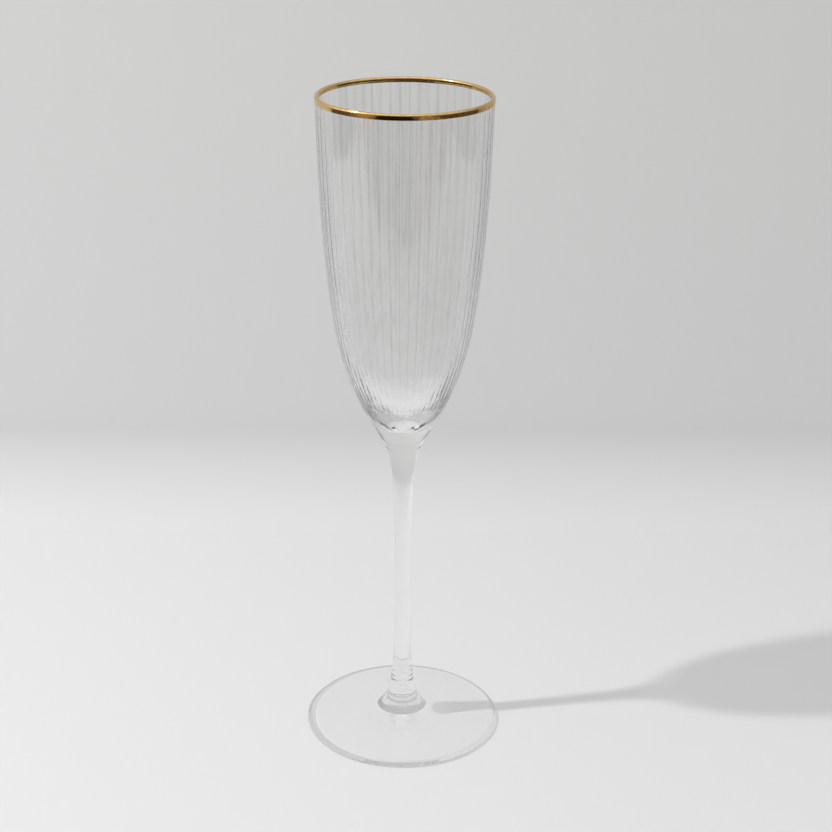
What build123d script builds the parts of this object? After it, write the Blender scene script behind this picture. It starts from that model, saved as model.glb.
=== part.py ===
"""Champagne flute: a ribbed blown bowl, a drawn stem, a pressed foot and a fired gold band.

The glass stands upright on Z = 0 with its axis on Z. Sizes are in millimetres.
The bowl, the stem and the foot are fused end to end, and the gold lies on the bowl's lip.
"""

import os
from math import cos, pi, sin

from build123d import *

# ---- driving dimensions -------------------------------------------------------------------
TOTAL_HEIGHT = 240.0
RIM_RADIUS = 30.2            # outside of the glass at the lip
FOOT_RADIUS = 36.0

STEM_TOP = 112.6             # where the bowl sits on the flared top of the stem
STEM_BOTTOM = 18.0           # where the stem is fused to the post of the foot
STEM_TOP_RADIUS = 6.2
STEM_WAIST_RADIUS = 2.92
STEM_BOTTOM_RADIUS = 4.15

LIP_WALL = 1.3               # thickness of the glass at the lip
LIP_BAND = 2.4               # the lip is a plain cylinder over this height
FLOOR_HEIGHT = 122.4         # flat inside bottom of the bowl
FLOOR_RADIUS = 3.6

RIB_COUNT = 54
RIB_DEPTH = 0.08             # how far a groove between two ribs cuts into the inner wall
RIB_START = 124.0            # the ribs fade in above this height
RIB_FULL = 138.0
RIB_FADE_OUT = 226.0         # and fade out towards the gold band
RIB_END = 234.0
POINTS_PER_RIB = 4
WALL_STATIONS = 24           # outlines that the ribbed wall is lofted through

GOLD_THICKNESS = 0.1         # stands for a film a few thousandths of a millimetre thick
GOLD_DROP_OUTSIDE = 1.95
GOLD_DROP_INSIDE = 1.2

EDGE_ROUND = 1.0             # radius of the rounded edge of the foot
BEARING_WIDTH = 1.4          # flat ring that the foot stands on
FOOT_HOLLOW = 1.8            # how far the underside rises at the middle
DOME_RADIUS = 9.3
DOME_FOOT_HEIGHT = 6.4       # where the dome under the post meets the disc
POST_RADIUS = 5.1

# ---- worked out from them -----------------------------------------------------------------
LIP_TOP = TOTAL_HEIGHT - GOLD_THICKNESS
LIP_ROUND = LIP_WALL / 2
LIP_CENTRE = LIP_TOP - LIP_ROUND
LIP_BAND_BOTTOM = LIP_TOP - LIP_BAND
INNER_RIM_RADIUS = RIM_RADIUS - LIP_WALL
CAVITY_STEP = 0.08           # the ribbed wall stands this far in from the bore of the lip

# the outside of the bowl, from the corner on the stem up to the plain band at the lip
bowl_outside = [
    (STEM_TOP_RADIUS, STEM_TOP),
    (9.1, 118.0),
    (13.0, 124.8),
    (18.1, 136.0),
    (22.6, 150.0),
    (25.5, 166.0),
    (27.7, 186.0),
    (29.2, 209.0),
    (RIM_RADIUS, LIP_BAND_BOTTOM),
]

# the crests of the ribs inside the bowl, from the edge of the flat floor up to the lip
bowl_inside = [
    (FLOOR_RADIUS, FLOOR_HEIGHT),
    (6.4, 124.4),
    (10.4, 128.6),
    (14.4, 134.4),
    (18.0, 142.0),
    (21.2, 151.5),
    (23.8, 166.0),
    (26.2, 187.0),
    (27.8, 210.0),
    (INNER_RIM_RADIUS - CAVITY_STEP, LIP_CENTRE),
]

stem_side = [
    (STEM_BOTTOM_RADIUS, STEM_BOTTOM),
    (3.45, 25.0),
    (3.12, 34.0),
    (STEM_WAIST_RADIUS, 60.0),
    (3.12, 82.0),
    (3.5, 94.5),
    (4.2, 103.4),
    (STEM_TOP_RADIUS, STEM_TOP),
]

# the post under the stem and the low dome that it widens into
post_side = [
    (STEM_BOTTOM_RADIUS, STEM_BOTTOM),
    (4.9, 16.0),
    (POST_RADIUS, 13.6),
    (5.6, 11.2),
    (6.8, 9.2),
    (8.2, 7.6),
    (DOME_RADIUS, DOME_FOOT_HEIGHT),
]


def rib_depth(height):
    """How deep the grooves are at a height: nothing on the floor and near the lip."""
    if height <= RIB_START or height >= RIB_END:
        return 0.0
    fade_in = min(1.0, (height - RIB_START) / (RIB_FULL - RIB_START))
    fade_out = min(1.0, (RIB_END - height) / (RIB_END - RIB_FADE_OUT))
    fade = fade_in * fade_out
    return RIB_DEPTH * fade * fade * (3 - 2 * fade)


def ribbed_outline(radius, height):
    """A closed curve round the inner wall at one height, over the crests and the grooves."""
    count = RIB_COUNT * POINTS_PER_RIB
    points = []
    for step in range(count):
        angle = 2 * pi * step / count
        reach = radius + rib_depth(height) * (1 - cos(RIB_COUNT * angle)) / 2
        points.append((reach * cos(angle), reach * sin(angle), height))
    turns = [step / count for step in range(count + 1)]
    return Edge.make_spline(points, periodic=True, parameters=turns)


# ---- bowl ---------------------------------------------------------------------------------
# the inner wall is lofted through ribbed outlines spaced evenly along this curve
with BuildLine(Plane.XZ) as inner_curve:
    Spline(*bowl_inside)
stations = [inner_curve.line @ (step / WALL_STATIONS) for step in range(WALL_STATIONS + 1)]

with BuildPart() as cavity:
    loft([Face(Wire(ribbed_outline(place.X, place.Z))) for place in stations])

# the blank is solid below its lip, and the cavity is taken out of it
with BuildPart() as bowl:
    with BuildSketch(Plane.XZ):
        with BuildLine():
            Line((0, STEM_TOP), (STEM_TOP_RADIUS, STEM_TOP))
            Spline(*bowl_outside)
            Line((RIM_RADIUS, LIP_BAND_BOTTOM), (RIM_RADIUS, LIP_CENTRE))
            ThreePointArc(
                (RIM_RADIUS, LIP_CENTRE),
                (RIM_RADIUS - LIP_ROUND, LIP_TOP),
                (INNER_RIM_RADIUS, LIP_CENTRE),
            )
            Line((INNER_RIM_RADIUS, LIP_CENTRE), (INNER_RIM_RADIUS, LIP_BAND_BOTTOM))
            Line((INNER_RIM_RADIUS, LIP_BAND_BOTTOM), (0, LIP_BAND_BOTTOM))
            Line((0, LIP_BAND_BOTTOM), (0, STEM_TOP))
        make_face()
    revolve(axis=Axis.Z)
    add(cavity.part, mode=Mode.SUBTRACT)

# ---- stem ---------------------------------------------------------------------------------
with BuildPart() as stem:
    with BuildSketch(Plane.XZ):
        with BuildLine():
            Line((0, STEM_BOTTOM), (STEM_BOTTOM_RADIUS, STEM_BOTTOM))
            Spline(*stem_side)
            Line((STEM_TOP_RADIUS, STEM_TOP), (0, STEM_TOP))
            Line((0, STEM_TOP), (0, STEM_BOTTOM))
        make_face()
    revolve(axis=Axis.Z)

# ---- foot ---------------------------------------------------------------------------------
edge_radius = FOOT_RADIUS - EDGE_ROUND
bearing_inner = edge_radius - BEARING_WIDTH
with BuildPart() as foot:
    with BuildSketch(Plane.XZ):
        with BuildLine():
            Line((0, STEM_BOTTOM), (STEM_BOTTOM_RADIUS, STEM_BOTTOM))
            Spline(*post_side)
            Line((DOME_RADIUS, DOME_FOOT_HEIGHT), (edge_radius, 2 * EDGE_ROUND))
            ThreePointArc(
                (edge_radius, 2 * EDGE_ROUND),
                (FOOT_RADIUS, EDGE_ROUND),
                (edge_radius, 0),
            )
            Line((edge_radius, 0), (bearing_inner, 0))
            Spline((bearing_inner, 0), (bearing_inner / 2, 0.75 * FOOT_HOLLOW), (0, FOOT_HOLLOW))
            Line((0, FOOT_HOLLOW), (0, STEM_BOTTOM))
        make_face()
    revolve(axis=Axis.Z)

# ---- gold band ----------------------------------------------------------------------------
# a thin cap over the round lip, with one leg outside and a shorter one inside
outer_leg = LIP_TOP - GOLD_DROP_OUTSIDE
inner_leg = LIP_TOP - GOLD_DROP_INSIDE
gold_outside = RIM_RADIUS + GOLD_THICKNESS
gold_inside = INNER_RIM_RADIUS - GOLD_THICKNESS
with BuildPart() as gold_rim:
    with BuildSketch(Plane.XZ):
        with BuildLine():
            Line((RIM_RADIUS, outer_leg), (gold_outside, outer_leg))
            Line((gold_outside, outer_leg), (gold_outside, LIP_CENTRE))
            ThreePointArc(
                (gold_outside, LIP_CENTRE),
                (RIM_RADIUS - LIP_ROUND, TOTAL_HEIGHT),
                (gold_inside, LIP_CENTRE),
            )
            Line((gold_inside, LIP_CENTRE), (gold_inside, inner_leg))
            Line((gold_inside, inner_leg), (INNER_RIM_RADIUS, inner_leg))
            Line((INNER_RIM_RADIUS, inner_leg), (INNER_RIM_RADIUS, LIP_CENTRE))
            ThreePointArc(
                (INNER_RIM_RADIUS, LIP_CENTRE),
                (RIM_RADIUS - LIP_ROUND, LIP_TOP),
                (RIM_RADIUS, LIP_CENTRE),
            )
            Line((RIM_RADIUS, LIP_CENTRE), (RIM_RADIUS, outer_leg))
        make_face()
    revolve(axis=Axis.Z)

# ---- one STEP file for each piece ---------------------------------------------------------
os.makedirs("parts", exist_ok=True)

bowl.part.label = "bowl"
stem.part.label = "stem"
foot.part.label = "foot"
gold_rim.part.label = "gold_rim"

export_step(bowl.part, "parts/bowl.step")
export_step(stem.part, "parts/stem.step")
export_step(foot.part, "parts/foot.step")
export_step(gold_rim.part, "parts/gold_rim.step")
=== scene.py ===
"""Ribbed champagne flute with a fired gold lip, modelled around its CAD frame.

Everything is in metres, in the frame of the CAD model: the glass stands on Z = 0 with its axis on Z.
"""

from math import cos, pi, radians, sin

import bpy
import numpy as np
from mathutils import Matrix, Vector


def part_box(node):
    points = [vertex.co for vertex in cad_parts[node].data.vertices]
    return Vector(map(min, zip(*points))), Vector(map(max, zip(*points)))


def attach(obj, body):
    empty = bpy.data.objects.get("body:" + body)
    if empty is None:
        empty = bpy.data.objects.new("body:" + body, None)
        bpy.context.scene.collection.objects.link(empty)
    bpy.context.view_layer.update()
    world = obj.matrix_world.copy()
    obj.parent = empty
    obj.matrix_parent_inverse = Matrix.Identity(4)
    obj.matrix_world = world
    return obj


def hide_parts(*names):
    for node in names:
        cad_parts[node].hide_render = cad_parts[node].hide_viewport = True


bl_info = {
    "name": "Ribbed Champagne Flute",
    "version": (1, 0, 0),
    "blender": (4, 5, 0),
    "location": "View3D > Sidebar > Flute",
    "description": "Builds a ribbed champagne flute with a fired gold lip, and a plain stage for it",
    "category": "Add Mesh",
}

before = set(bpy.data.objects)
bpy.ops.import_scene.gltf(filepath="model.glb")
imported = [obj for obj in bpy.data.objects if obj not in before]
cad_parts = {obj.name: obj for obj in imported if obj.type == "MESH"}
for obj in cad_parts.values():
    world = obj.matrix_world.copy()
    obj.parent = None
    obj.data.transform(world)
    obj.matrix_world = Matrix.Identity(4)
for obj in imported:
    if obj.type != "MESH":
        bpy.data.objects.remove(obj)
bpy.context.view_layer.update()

MM = 0.001
TOUCHING = 1e-6                   # points nearer to each other than this are one point
BODY = "root"

foot_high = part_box("foot")[1]
stem_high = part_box("stem")[1]
bowl_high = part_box("bowl")[1]
gold_low, gold_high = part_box("gold_rim")

FOOT_RADIUS = foot_high.x
FOOT_JOINT = foot_high.z          # where the stem is fused to the post of the foot
BOWL_JOINT = stem_high.z          # where the bowl is fused to the stem
RIM_RADIUS = bowl_high.x
LIP_TOP = bowl_high.z
GOLD_TOP = gold_high.z
GOLD_BOTTOM = gold_low.z

# How the outlines run between the joints, as (radius, height) in millimetres.
BOWL_OUTSIDE = [
    (9.1, 118), (13, 124.8), (18.1, 136), (22.6, 150), (25.5, 166), (27.7, 186), (29.2, 209),
]
BOWL_INSIDE = [
    (6.4, 124.4), (10.4, 128.6), (14.4, 134.4), (18, 142),
    (21.2, 151.5), (23.8, 166), (26.2, 187), (27.8, 210),
]
STEM_SIDE = [(3.45, 25), (3.12, 34), (2.92, 60), (3.12, 82), (3.5, 94.5), (4.2, 103.4)]
POST_SIDE = [(4.9, 16), (5.1, 13.6), (5.6, 11.2), (6.8, 9.2), (8.2, 7.6)]

LIP_BAND = 2.4 * MM               # the lip is a plain cylinder over this height
RIB_START = 123 * MM              # the ribs fade in from here
RIB_FULL = 135 * MM               # to here
RIB_FADE = 0.6 * MM               # and fade out over this height below the round of the lip
RIB_SHARPNESS = 0.7               # below 1 the crests between the grooves are narrow
DOME_EDGE = (9.3 * MM, 6.4 * MM)  # where the dome under the post meets the disc of the foot
EDGE_ROUND = 1.0 * MM             # radius of the rounded edge of the foot
BEARING_WIDTH = 1.4 * MM          # flat ring that the foot stands on
FOOT_HOLLOW = 1.8 * MM            # how far the underside rises at the middle
GLINT_START = 0.3 * MM            # how far outside the bearing ring's inner edge the glint begins
EDGE_START = 0.8 * MM             # and how far out it ends and the edge with painted shade begins

# The material slots of the glass pieces, after the glass itself.
JOINT_SLOT = 1
EDGE_SLOT = 2
GLINT_SLOT = 3

# How many faces the round bodies have.
FACES_PER_RIB = 12
GOLD_FACES_PER_RIB = 4
STEM_FACES = 128
FOOT_FACES = 256

# The share of a lamp's light that is left behind one surface of each glass.
BOWL_SHADOW = 0.6
STEM_SHADOW = 0.3
FOOT_SHADOW = 0.99
EDGE_SHADOW = 0.5
GLINT_SHADOW = 1.3                # above 1, because the foot's edge gathers light in a thin ring

# Painted shade: the grey along the bowl's ribs and fine lines, for the dark lines they refract.
PAINTED_LINE_SHADE = (0.76, 0.76, 0.76, 1)
# Painted shade: the grey of the foot's rounded edge, for the darker light it refracts.
EDGE_PAINTED_SHADE = (0.82, 0.82, 0.82, 1)
WORN_GOLD = (0.4, 0.13, 0.04, 1)
WHITE = (1, 1, 1, 1)
WARM_DARK = (1, 0.8, 0.62, 1)


# ---- sizes and colours that a user would change --------------------------------------------
class FluteSizes(bpy.types.PropertyGroup):
    """Sizes of the glass that the CAD frame leaves open."""

    lip_wall: bpy.props.FloatProperty(
        name="Lip Wall", description="Thickness of the glass at the lip",
        default=1.3 * MM, min=0.5 * MM, max=3 * MM, unit="LENGTH", precision=4)
    floor_height: bpy.props.FloatProperty(
        name="Floor Height", description="Height of the flat floor inside the bowl",
        default=122.4 * MM, unit="LENGTH", precision=4)
    floor_radius: bpy.props.FloatProperty(
        name="Floor Radius", description="Radius of the flat floor inside the bowl",
        default=3.6 * MM, unit="LENGTH", precision=4)
    joint_radius: bpy.props.FloatProperty(
        name="Bowl Joint Radius", description="Radius where the bowl is fused to the stem",
        default=6.2 * MM, unit="LENGTH", precision=4)
    foot_joint_radius: bpy.props.FloatProperty(
        name="Foot Joint Radius", description="Radius where the stem is fused to the foot",
        default=4.15 * MM, unit="LENGTH", precision=4)
    rib_count: bpy.props.IntProperty(
        name="Ribs", description="Number of ribs round the inside of the bowl",
        default=54, min=12, max=90)
    rib_depth: bpy.props.FloatProperty(
        name="Rib Depth", description="Depth of the grooves between the ribs",
        default=0.07 * MM, unit="LENGTH", precision=5)
    gold_inside: bpy.props.FloatProperty(
        name="Gold Inside", description="How far the gold reaches down inside the lip",
        default=1.2 * MM, unit="LENGTH", precision=4)
    gold_thickness: bpy.props.FloatProperty(
        name="Gold Thickness", description="Thickness of the gold band",
        default=0.1 * MM, unit="LENGTH", precision=5)


class FluteColours(bpy.types.PropertyGroup):
    """Colours of the glass, the gold and the stage."""

    glass: bpy.props.FloatVectorProperty(
        name="Glass", description="Tint of the clear glass", subtype="COLOR", size=4,
        default=(0.99, 0.99, 0.988, 1), min=0, max=1)
    gold: bpy.props.FloatVectorProperty(
        name="Gold", description="Colour of the fired gold", subtype="COLOR", size=4,
        default=(0.9, 0.62, 0.24, 1), min=0, max=1)
    floor: bpy.props.FloatVectorProperty(
        name="Floor", description="Colour of the floor", subtype="COLOR", size=4,
        default=(0.74, 0.745, 0.745, 1), min=0, max=1)
    wall: bpy.props.FloatVectorProperty(
        name="Wall", description="Colour of the backdrop behind the glass", subtype="COLOR", size=4,
        default=(0.785, 0.79, 0.79, 1), min=0, max=1)


class FluteStage(bpy.types.PropertyGroup):
    """Where the camera and the light stand."""

    camera_distance: bpy.props.FloatProperty(
        name="Camera Distance", description="Level distance from the glass to the camera",
        default=0.5968, unit="LENGTH")
    camera_height: bpy.props.FloatProperty(
        name="Camera Height", description="Height of the camera above the floor",
        default=0.3676, unit="LENGTH")
    camera_tilt: bpy.props.FloatProperty(
        name="Camera Tilt", description="How far the camera looks down",
        default=radians(22.18), subtype="ANGLE")
    camera_turn: bpy.props.FloatProperty(
        name="Camera Turn", description="How far the camera looks to the right of the glass",
        default=radians(0.432), subtype="ANGLE")
    camera_roll: bpy.props.FloatProperty(
        name="Camera Roll", description="How far the camera leans",
        default=radians(0.442), subtype="ANGLE")
    lens: bpy.props.FloatProperty(
        name="Lens", description="Focal length in millimetres on a 36 mm wide sensor",
        default=78.0, unit="CAMERA")
    key_strength: bpy.props.FloatProperty(
        name="Key Power", description="Power of the small lamp on the left", default=10.0, unit="POWER")
    key_size: bpy.props.FloatProperty(
        name="Key Size", description="Diameter of the small lamp", default=0.06, unit="LENGTH")


# ---- modelling helpers ----------------------------------------------------------------------
def deselect_everything():
    """Leave nothing selected, so that the next operator acts on the new piece alone."""
    bpy.ops.object.select_all(action="DESELECT")


def smooth_curve(corners, count):
    """Evenly spaced points on the smooth curve through a few (radius, height) corners."""
    corners = np.array(corners, float)
    reach = np.append(0.0, np.cumsum(np.linalg.norm(np.diff(corners, axis=0), axis=1)))
    gap = np.diff(reach)[:, None]
    slope = np.diff(corners, axis=0) / gap
    last = len(corners) - 1
    system = np.eye(last + 1)
    pull = np.zeros_like(corners)
    for i in range(1, last):
        system[i, i - 1:i + 2] = gap[i - 1, 0], 2 * (gap[i - 1, 0] + gap[i, 0]), gap[i, 0]
        pull[i] = 6 * (slope[i] - slope[i - 1])
    bend = np.linalg.solve(system, pull)
    at = np.linspace(0, reach[-1], count)
    span = np.clip(np.searchsorted(reach, at) - 1, 0, last - 1)
    left = (at - reach[span])[:, None]
    width = gap[span]
    right = width - left
    start, end = corners[span], corners[span + 1]
    points = (start * right + end * left) / width
    points += ((right ** 3 / width - width * right) * bend[span]
               + (left ** 3 / width - width * left) * bend[span + 1]) / 6
    return [tuple(point) for point in points]


def arc(centre, radius, start, end, count):
    """Points on an arc in the outline's plane. Angles are in degrees from the radius axis."""
    angles = np.linspace(radians(start), radians(end), count)
    return [(centre[0] + radius * cos(a), centre[1] + radius * sin(a)) for a in angles]


def in_metres(corners):
    """Corners given in millimetres, in metres."""
    return [(radius * MM, height * MM) for radius, height in corners]


def turn_on_lathe(name, outline, steps, closed=False):
    """Draw an outline of (radius, height) points edge by edge and spin it into a round body."""
    deselect_everything()
    radius, height = outline[0]
    bpy.ops.mesh.primitive_plane_add(size=MM, location=(radius, 0, height))
    piece = bpy.context.object
    piece.name = piece.data.name = name
    bpy.ops.object.transform_apply(location=True, rotation=True, scale=True)
    bpy.ops.object.mode_set(mode="EDIT")
    bpy.ops.mesh.select_mode(type="VERT")
    bpy.ops.mesh.merge(type="CENTER")
    for (r0, z0), (r1, z1) in zip(outline, outline[1:]):
        bpy.ops.mesh.extrude_vertices_move(TRANSFORM_OT_translate={"value": (r1 - r0, 0, z1 - z0)})
    bpy.ops.mesh.select_all(action="SELECT")
    if closed:
        bpy.ops.mesh.remove_doubles(threshold=TOUCHING)
    bpy.ops.mesh.spin(steps=steps, angle=2 * pi, center=(0, 0, 0), axis=(0, 0, 1))
    bpy.ops.mesh.select_all(action="SELECT")
    bpy.ops.mesh.remove_doubles(threshold=TOUCHING)
    bpy.ops.mesh.normals_make_consistent(inside=False)
    bpy.ops.object.mode_set(mode="OBJECT")
    return piece


def finish_piece(piece, node, materials, smooth=30):
    """Give a piece its materials and smooth shading, and let it stand for its CAD node."""
    for material in materials:
        bpy.ops.object.material_slot_add()
        piece.material_slots[-1].material = material
    bpy.ops.object.shade_smooth_by_angle(angle=radians(smooth))
    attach(piece, BODY)
    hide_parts(node)


def paint_faces(piece, slot, chosen):
    """Give the faces that pass a test the material in another slot."""
    bpy.ops.object.mode_set(mode="EDIT")
    bpy.ops.mesh.select_mode(type="FACE")
    bpy.ops.mesh.select_all(action="DESELECT")
    bpy.ops.object.mode_set(mode="OBJECT")
    for face in piece.data.polygons:
        face.select = chosen(face)
    bpy.ops.object.mode_set(mode="EDIT")
    piece.active_material_index = slot
    bpy.ops.object.material_slot_assign()
    bpy.ops.object.mode_set(mode="OBJECT")


def paint_joint(piece, height):
    """Give the flat face where two fused pieces meet the invisible material."""
    paint_faces(piece, JOINT_SLOT, lambda face: (
        abs(face.center.z - height) < TOUCHING and abs(face.normal.z) > 0.9))


# ---- materials ------------------------------------------------------------------------------
class Wire:
    """An output of a shader node. Sums and products of wires add their Math nodes."""

    def __init__(self, tree, socket=None):
        self.tree = tree
        self.socket = socket

    def node(self, kind, settings=None, sockets=None, output=0):
        """Add a node: its settings come first, then the values or links of its sockets."""
        made = self.tree.nodes.new("ShaderNode" + kind)
        for name, value in (settings or {}).items():
            setattr(made, name, value)
        for name, value in (sockets or {}).items():
            if isinstance(value, Wire):
                self.tree.links.new(value.socket, made.inputs[name])
            else:
                made.inputs[name].default_value = value
        return Wire(self.tree, made.outputs[output] if made.outputs else None)

    def _math(self, operation, *values):
        """Add a Math node on these values."""
        return self.node("Math", {"operation": operation}, dict(enumerate(values)))

    def __add__(self, other):
        return self._math("ADD", self, other)

    __radd__ = __add__

    def __sub__(self, other):
        return self._math("SUBTRACT", self, other)

    def __rsub__(self, other):
        return self._math("SUBTRACT", other, self)

    def __mul__(self, other):
        return self._math("MULTIPLY", self, other)

    __rmul__ = __mul__

    def __abs__(self):
        return self._math("ABSOLUTE", self)

    def greater(self, other):
        """The greater of this and another value."""
        return self._math("MAXIMUM", self, other)

    def at_most_one(self):
        """This value, or 1 where it is more."""
        return self._math("MINIMUM", self, 1.0)

    def sine(self):
        """The sine of this value."""
        return self._math("SINE", self)

    def cosine(self):
        """The cosine of this value."""
        return self._math("COSINE", self)

    def angle_from(self, other):
        """The angle of the point (other, self) round the origin."""
        return self._math("ARCTAN2", self, other)

    def place(self):
        """The place of a point on the piece, in metres."""
        return self.node("TexCoord", output="Object")

    def parts(self):
        """The three parts of a vector."""
        outputs = self.node("SeparateXYZ", None, {0: self}).socket.node.outputs
        return [Wire(self.tree, part) for part in outputs]

    def stretched(self, x, y, z):
        """A vector with its parts multiplied."""
        return self.node("VectorMath", {"operation": "MULTIPLY"}, {0: self, 1: (x, y, z)})

    def noise(self, scale, detail):
        """Smooth noise that this place runs through."""
        return self.node("TexNoise", None, {"Vector": self, "Scale": scale, "Detail": detail})

    def rise(self, start, end):
        """A smooth rise from 0 to 1 while this value goes from start to end."""
        return self.node("MapRange", {"interpolation_type": "SMOOTHSTEP"}, {
            "Value": self, "From Min": start, "From Max": end})

    def between(self, first, second):
        """The colour that lies this share of the way from the first to the second."""
        colours = {"Factor": self, "A": first, "B": second}
        return self.node("Mix", {"data_type": "RGBA"}, colours, output="Result")


def new_material(name):
    """An empty node material, and the wire that its nodes are added through."""
    material = bpy.data.materials.new(name)
    material.use_nodes = True
    material.node_tree.nodes.clear()
    return material, Wire(material.node_tree)


def mirrored(wire):
    """1 for light that was mirrored on its way, on gold or inside glass, and 0 for light seen straight."""
    return wire.node("LightPath", output="Glossy Depth").at_most_one()


def show(wire, surface):
    """Send a shader to the material's output."""
    wire.node("OutputMaterial", None, {"Surface": surface})


def colour_with_painted_rib_shade(place, colour, rib_count):
    """The glass colour with painted shade: grey along the crest of each rib and along fine upright lines,
    standing in for the dark lines that the ribs refract.
    """
    x, y, z = place.parts()
    # Painted shade: the grey stands in for the dark lines that refraction through the ribs shows.
    painted_crest_shade = (y.angle_from(x) * rib_count).cosine().rise(0.86, 1.0) * z.rise(128 * MM, 160 * MM)
    uneven = place.noise(220, 1)
    painted_line_shade = place.stretched(900, 900, 6).noise(1, 3).rise(0.5, 0.75) * z.rise(130 * MM, 170 * MM)
    return (painted_crest_shade * uneven + painted_line_shade * 0.6).between(colour, PAINTED_LINE_SHADE)


def pressed_waves(place):
    """Stretched marks low on the bowl, where the ribs run together."""
    z = place.parts()[2]
    low = (1 - z.rise(134 * MM, 160 * MM)) * z.rise(119 * MM, 126 * MM)
    return place.stretched(450, 450, 130).noise(1, 2) * low * 6


def tool_rings(place):
    """Fine rings on the dome of the foot, left by the tool that shaped it."""
    z = place.parts()[2]
    ring = (z * (7 / MM)).sine()
    return ring * z.rise(5.5 * MM, 7 * MM) * (1 - z.rise(10 * MM, 14 * MM)) * 0.8


def clear_glass(name, colour, wave_height, wave_size, shadow, rib_count=0, extra_waves=None):
    """Clear glass with faint waves in its surface. Lamps shine through it by its shadow share."""
    material, wire = new_material(name)
    place = wire.place()
    # For the bowl the colour carries painted shade along the ribs and fine lines.
    colour_and_line_shade = colour_with_painted_rib_shade(place, colour, rib_count) if rib_count else colour
    waves = place.noise(1 / wave_size, 2)
    if extra_waves:
        waves = waves + extra_waves(place)
    glass = wire.node("BsdfPrincipled", None, {
        "Base Color": colour_and_line_shade,
        "Roughness": 0.004 + place.noise(60, 4) * 0.012,
        "IOR": 1.5,
        "Transmission Weight": 1.0,
        "Normal": wire.node("Bump", None, {"Height": waves, "Distance": wave_height, "Strength": 1.0}),
    })
    open_air = wire.node("BsdfTransparent", None, {"Color": WHITE})
    thrown = wire.node("BsdfTransparent", None, {"Color": (shadow, shadow, shadow, 1)})
    bounced = wire.node("LightPath", output="Is Diffuse Ray")
    lamp = wire.node("LightPath", output="Is Shadow Ray")
    ambient = wire.node("MixShader", None, {0: bounced, 1: glass, 2: open_air})
    show(wire, wire.node("MixShader", None, {0: lamp, 1: ambient, 2: thrown}))
    return material


def fused_joint():
    """The face inside fused glass, which nothing shows."""
    material, wire = new_material("fused_joint")
    show(wire, wire.node("BsdfPrincipled", None, {"Alpha": 0.0, "Base Color": WHITE, "Roughness": 0.0}))
    return material


def fired_gold(colour, rib_count):
    """Bright gold fired on glass, with the ribs faintly showing through it and worn specks on one side."""
    material, wire = new_material("fired_gold")
    place = wire.place()
    x, y, z = place.parts()
    flow = place.noise(350, 3)
    grain = place.noise(1800, 2)
    below_lip = (0 - z).rise(0.4 * MM - GOLD_TOP, 0.9 * MM - GOLD_TOP)
    worn = x.rise(0, 12 * MM) * below_lip
    specks = grain.rise(0.45, 0.6) * (0.3 + worn * 0.6)
    rib = (y.angle_from(x) * rib_count).cosine()
    relief = rib * 0.5 + flow * 1.5 + grain * 0.3
    show(wire, wire.node("BsdfPrincipled", None, {
        "Base Color": specks.between(colour, WORN_GOLD),
        "Metallic": 1.0,
        "Roughness": 0.08 + flow * 0.12,
        "Normal": wire.node("Bump", None, {"Height": relief, "Distance": 0.02 * MM, "Strength": 1.0}),
    }))
    return material


def pale_backdrop(floor, wall, side, front):
    """Matt pale paper. It can be looked through from behind, and only its middle is mirrored in gloss."""
    material, wire = new_material("pale_backdrop")
    x, y, z = wire.place().parts()
    paper = wire.node("BsdfPrincipled", None, {
        "Base Color": z.rise(0, 50 * MM).between(floor, wall), "Roughness": 1.0, "Specular IOR Level": 0.0})
    gone = wire.node("BsdfTransparent")
    beyond_side = abs(x).rise(side - 0.02, side + 0.02)
    beyond_front = (0 - y).rise(-front - 0.06, -front + 0.14)
    outside = beyond_side.greater(beyond_front)
    behind = wire.node("NewGeometry", output="Backfacing")
    hidden = behind.greater(outside * mirrored(wire))
    show(wire, wire.node("MixShader", None, {0: hidden, 1: paper, 2: gone}))
    return material


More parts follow.
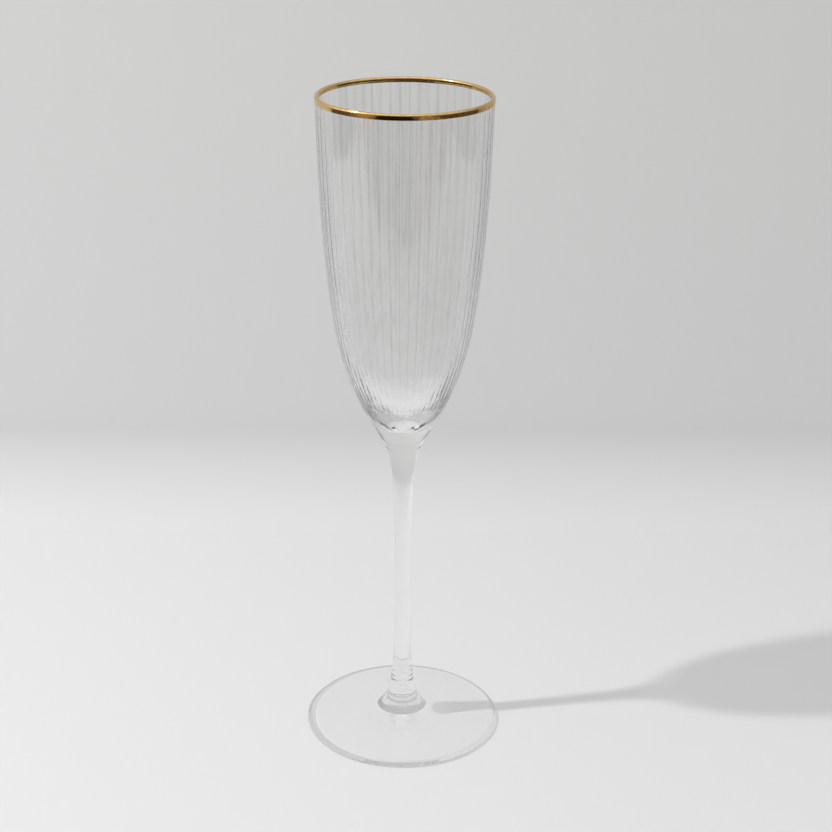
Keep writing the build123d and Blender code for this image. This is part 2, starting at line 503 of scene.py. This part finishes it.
# ---- pieces ---------------------------------------------------------------------------------
class FLUTE_OT_bowl(bpy.types.Operator):
    """Turn the bowl and press the ribs into its inner wall"""

    bl_idname = "flute.bowl"
    bl_label = "Bowl"

    def execute(self, context):
        sizes = context.scene.flute_sizes
        lip_round = sizes.lip_wall / 2
        lip_centre = (RIM_RADIUS - lip_round, LIP_TOP - lip_round)
        inner_radius = RIM_RADIUS - sizes.lip_wall
        joint_edge = (sizes.joint_radius, BOWL_JOINT)
        floor_edge = (sizes.floor_radius, sizes.floor_height)
        band_bottom = (RIM_RADIUS, LIP_TOP - LIP_BAND)
        lip_inside = (inner_radius, lip_centre[1])
        outside = smooth_curve([joint_edge, *in_metres(BOWL_OUTSIDE), band_bottom], count=36)
        inside = smooth_curve([floor_edge, *in_metres(BOWL_INSIDE), lip_inside], count=40)
        outline = [(0, BOWL_JOINT), *outside, *arc(lip_centre, lip_round, 0, 180, count=13),
                   *reversed(inside[:-1]), (0, sizes.floor_height)]
        bowl = turn_on_lathe("bowl_glass", outline, sizes.rib_count * FACES_PER_RIB)
        self.press_ribs(bowl, sizes)
        colour = context.scene.flute_colours.glass
        glass = clear_glass(
            "bowl_glass", colour, 0.02 * MM, 12 * MM, BOWL_SHADOW, sizes.rib_count, pressed_waves)
        finish_piece(bowl, "bowl", [glass, fused_joint()])
        paint_joint(bowl, BOWL_JOINT)
        return {"FINISHED"}

    def press_ribs(self, bowl, sizes):
        """Push grooves into the inner wall, deeper where the vertex group weighs more."""
        group = bowl.vertex_groups.new(name="grooves")
        for vertex in bowl.data.vertices:
            x, y, z = vertex.co
            inward = vertex.normal.x * x + vertex.normal.y * y < 0
            fade_in = np.clip((z - RIB_START) / (RIB_FULL - RIB_START), 0, 1)
            fade_out = np.clip((LIP_TOP - RIB_FADE - z) / RIB_FADE, 0, 1)
            fade = fade_in * fade_out
            if inward and fade > 0:
                groove = abs(sin(sizes.rib_count * np.arctan2(y, x) / 2)) ** RIB_SHARPNESS
                group.add([vertex.index], float(groove * fade), "REPLACE")
        bpy.ops.object.modifier_add(type="DISPLACE")
        press = bowl.modifiers[-1]
        press.vertex_group = group.name
        press.mid_level = 0
        press.strength = -sizes.rib_depth
        bpy.ops.object.modifier_apply(modifier=press.name)
        bowl.vertex_groups.clear()


class FLUTE_OT_stem(bpy.types.Operator):
    """Turn the drawn stem with its flared top"""

    bl_idname = "flute.stem"
    bl_label = "Stem"

    def execute(self, context):
        sizes = context.scene.flute_sizes
        foot_edge = (sizes.foot_joint_radius, FOOT_JOINT)
        bowl_edge = (sizes.joint_radius, BOWL_JOINT)
        side = smooth_curve([foot_edge, *in_metres(STEM_SIDE), bowl_edge], count=60)
        stem = turn_on_lathe("stem_glass", [(0, FOOT_JOINT), *side, (0, BOWL_JOINT)], STEM_FACES)
        glass = clear_glass("stem_glass", context.scene.flute_colours.glass, 0.01 * MM, 9 * MM, STEM_SHADOW)
        finish_piece(stem, "stem", [glass, bpy.data.materials["fused_joint"]])
        paint_joint(stem, BOWL_JOINT)
        paint_joint(stem, FOOT_JOINT)
        return {"FINISHED"}


class FLUTE_OT_foot(bpy.types.Operator):
    """Turn the foot with its post, its dome and its hollow underside"""

    bl_idname = "flute.foot"
    bl_label = "Foot"

    def execute(self, context):
        sizes = context.scene.flute_sizes
        edge_centre = (FOOT_RADIUS - EDGE_ROUND, EDGE_ROUND)
        bearing = FOOT_RADIUS - EDGE_ROUND - BEARING_WIDTH
        stem_edge = (sizes.foot_joint_radius, FOOT_JOINT)
        side = smooth_curve([stem_edge, *in_metres(POST_SIDE), DOME_EDGE], count=40)
        top = smooth_curve([side[-1], (edge_centre[0], 2 * EDGE_ROUND)], count=90)
        under = [(bearing * k, FOOT_HOLLOW * (1 - k ** 2)) for k in np.linspace(1, 0, 21)]
        outline = [(0, FOOT_JOINT), *side, *top[1:-1],
                   *arc(edge_centre, EDGE_ROUND, 90, -90, count=17), *under]
        foot = turn_on_lathe("foot_glass", outline, FOOT_FACES)
        colour = context.scene.flute_colours.glass
        waves = 0.01 * MM, 14 * MM
        glass = clear_glass("foot_glass", colour, *waves, FOOT_SHADOW, extra_waves=tool_rings)
        # The edge's grey is painted shade, for the darker light that the rounded edge refracts.
        edge = clear_glass("foot_edge", EDGE_PAINTED_SHADE, *waves, EDGE_SHADOW)
        glint = clear_glass("foot_glint", colour, *waves, GLINT_SHADOW)
        finish_piece(foot, "foot", [glass, bpy.data.materials["fused_joint"], edge, glint])
        paint_joint(foot, FOOT_JOINT)
        edge_start = bearing + EDGE_START
        glint_start = bearing + GLINT_START
        paint_faces(foot, EDGE_SLOT, lambda face: face.center.xy.length > edge_start)
        paint_faces(foot, GLINT_SLOT, lambda face: (
            glint_start < face.center.xy.length < edge_start and face.normal.z > 0))
        return {"FINISHED"}


class FLUTE_OT_gold_rim(bpy.types.Operator):
    """Turn the thin gold cap that lies over the lip"""

    bl_idname = "flute.gold_rim"
    bl_label = "Gold Rim"

    def execute(self, context):
        sizes = context.scene.flute_sizes
        gold = sizes.gold_thickness
        lip_round = sizes.lip_wall / 2
        centre = (RIM_RADIUS - lip_round, LIP_TOP - lip_round)
        inside_bottom = GOLD_TOP - sizes.gold_inside
        outer, inner = RIM_RADIUS + gold, RIM_RADIUS - sizes.lip_wall - gold
        outline = [(RIM_RADIUS, GOLD_BOTTOM), (outer, GOLD_BOTTOM + gold / 2),
                   *arc(centre, lip_round + gold, 0, 180, count=17),
                   (inner, inside_bottom + gold / 2), (inner + gold, inside_bottom),
                   *arc(centre, lip_round, 180, 0, count=17), (RIM_RADIUS, GOLD_BOTTOM)]
        band = turn_on_lathe("gold_rim_band", outline, sizes.rib_count * GOLD_FACES_PER_RIB, closed=True)
        material = fired_gold(context.scene.flute_colours.gold, sizes.rib_count)
        finish_piece(band, "gold_rim", [material], smooth=50)
        return {"FINISHED"}


# ---- stage ----------------------------------------------------------------------------------
class FLUTE_OT_stage(bpy.types.Operator):
    """Add the floor and backdrop, the lamp, the soft light and the camera"""

    bl_idname = "flute.stage"
    bl_label = "Stage"

    def execute(self, context):
        stage = context.scene.flute_stage
        colours = context.scene.flute_colours
        self.add_backdrop(colours.floor, colours.wall)
        self.add_lamp(stage)
        self.add_soft_light()
        self.add_camera(stage)
        context.scene.view_settings.view_transform = "Standard"
        self.let_light_through(context.scene.cycles)
        return {"FINISHED"}

    def let_light_through(self, paths):
        """Let light cross many glass surfaces, and keep its bright points."""
        paths.max_bounces = paths.transmission_bounces = paths.transparent_max_bounces = 48
        paths.glossy_bounces = 24
        paths.diffuse_bounces = 4
        paths.sample_clamp_indirect = 200

    def add_backdrop(self, floor, wall):
        """A pale floor that sweeps up into a pale wall behind the glass."""
        deselect_everything()
        width, front, back = 2.4, -1.6, 0.2
        rise, lean, sweep_radius = 0.9, 0.06, 0.035
        bpy.ops.mesh.primitive_plane_add(size=1, location=(0, (front + back) / 2, 0))
        sweep = bpy.context.object
        sweep.name = sweep.data.name = "backdrop"
        sweep.scale = (width, back - front, 1)
        bpy.ops.object.transform_apply(location=True, rotation=True, scale=True)
        self.select_back_edge(sweep, back)
        bpy.ops.mesh.extrude_region_move(TRANSFORM_OT_translate={"value": (0, lean, rise)})
        self.select_back_edge(sweep, back)
        bpy.ops.mesh.bevel(offset=sweep_radius, segments=16, affect="EDGES")
        bpy.ops.mesh.select_all(action="SELECT")
        bpy.ops.mesh.normals_make_consistent(inside=False)
        bpy.ops.object.mode_set(mode="OBJECT")
        if sweep.data.polygons[0].normal.z < 0:
            sweep.data.flip_normals()
        bpy.ops.object.shade_smooth_by_angle(angle=radians(40))
        sweep.data.materials.append(pale_backdrop(floor, wall, side=0.75, front=-0.38))

    def select_back_edge(self, sweep, back):
        """Enter edit mode with only the floor's back edge selected."""
        bpy.ops.object.mode_set(mode="EDIT")
        bpy.ops.mesh.select_mode(type="EDGE")
        bpy.ops.mesh.select_all(action="DESELECT")
        bpy.ops.object.mode_set(mode="OBJECT")
        for edge in sweep.data.edges:
            ends = [sweep.data.vertices[v].co for v in edge.vertices]
            edge.select = all(abs(end.y - back) < MM and end.z < MM for end in ends)
        bpy.ops.object.mode_set(mode="EDIT")

    def add_lamp(self, stage):
        """A small lamp high on the left, a little in front of the glass."""
        deselect_everything()
        way = Vector((-0.6275, -0.1197, 0.7694)).normalized()
        distance = 1.6
        bpy.ops.object.light_add(type="AREA", location=way * distance)
        lamp = bpy.context.object
        lamp.name = "key_lamp"
        lamp.data.shape = "DISK"
        lamp.data.size = stage.key_size
        lamp.data.energy = stage.key_strength
        lamp.rotation_euler = way.to_track_quat("Z", "Y").to_euler()

    def add_soft_light(self):
        """Soft light from all round: bright above, dim low in front of the glass.

        Light seen straight, or through glass, shows one pale tone beyond the backdrop.
        Light mirrored on gold or inside glass shows a darker room.
        """
        world = bpy.data.worlds.new("soft_light")
        bpy.context.scene.world = world
        world.use_nodes = True
        world.node_tree.nodes.clear()
        wire = Wire(world.node_tree)
        way = wire.node("TexCoord", output="Generated")
        x, y, z = way.parts()
        gloss = mirrored(wire)
        inside = wire.node("LightPath", output="Transmission Depth").at_most_one()
        through = wire.node("LightPath", output="Is Transmission Ray")
        direct = wire.node("LightPath", output="Is Camera Ray").greater(through) * (1 - gloss)
        low_in_front = {0: way, 1: (-0.2, -0.9, -0.38)}
        forward = wire.node("VectorMath", {"operation": "DOT_PRODUCT"}, low_in_front, output="Value")
        above = z.rise(-0.1, 0.3)
        room = (0.62 - 0.25 * x + 0.1 * y + 0.4 * z) * (1 - 0.6 * forward.rise(0.2, 0.8))
        under = 0.1 + 0.24 * forward.rise(0.45, 0.75)
        level = z.rise(-0.45, -0.2) * (1 - z.rise(0.2, 0.4))
        dimming, surround = 0.97, 0.58
        dark = (1 - dimming * forward.rise(0.86, 0.88) * gloss) * (1 - dimming * level * gloss * inside)
        strength = (room * above + under * (1 - above)) * dark * (1 - direct) + surround * direct
        colour = above.greater(direct).between(WARM_DARK, WHITE)
        light = wire.node("Background", None, {"Color": colour, "Strength": strength})
        wire.node("OutputWorld", None, {"Surface": light})

    def add_camera(self, stage):
        """A camera in front of the glass, above its lip and looking down."""
        bpy.ops.object.camera_add(location=(0, -stage.camera_distance, stage.camera_height))
        camera = bpy.context.object
        camera.name = "camera"
        camera.data.lens = stage.lens
        camera.data.sensor_width = 36
        camera.rotation_euler = (
            Matrix.Rotation(-stage.camera_turn, 3, "Z")
            @ Matrix.Rotation(pi / 2 - stage.camera_tilt, 3, "X")
            @ Matrix.Rotation(stage.camera_roll, 3, "Z")
        ).to_euler()
        bpy.context.scene.camera = camera


# ---- panel ----------------------------------------------------------------------------------
class FLUTE_PT_panel(bpy.types.Panel):
    """Sizes, colours and the pieces of the flute"""

    bl_label = "Champagne Flute"
    bl_idname = "FLUTE_PT_panel"
    bl_space_type = "VIEW_3D"
    bl_region_type = "UI"
    bl_category = "Flute"

    def draw(self, context):
        scene = context.scene
        for group in (scene.flute_sizes, scene.flute_colours, scene.flute_stage):
            box = self.layout.box()
            for name in group.__annotations__:
                box.prop(group, name)
        for piece in PIECES:
            self.layout.operator(piece.bl_idname)


PIECES = (FLUTE_OT_bowl, FLUTE_OT_stem, FLUTE_OT_foot, FLUTE_OT_gold_rim, FLUTE_OT_stage)
CLASSES = (FluteSizes, FluteColours, FluteStage, *PIECES, FLUTE_PT_panel)


def register():
    for each in CLASSES:
        bpy.utils.register_class(each)
    bpy.types.Scene.flute_sizes = bpy.props.PointerProperty(type=FluteSizes)
    bpy.types.Scene.flute_colours = bpy.props.PointerProperty(type=FluteColours)
    bpy.types.Scene.flute_stage = bpy.props.PointerProperty(type=FluteStage)


def unregister():
    del bpy.types.Scene.flute_stage
    del bpy.types.Scene.flute_colours
    del bpy.types.Scene.flute_sizes
    for each in reversed(CLASSES):
        bpy.utils.unregister_class(each)


def main():
    register()
    bpy.ops.flute.bowl()
    bpy.ops.flute.stem()
    bpy.ops.flute.foot()
    bpy.ops.flute.gold_rim()
    bpy.ops.flute.stage()


if __name__ == "__main__":
    main()
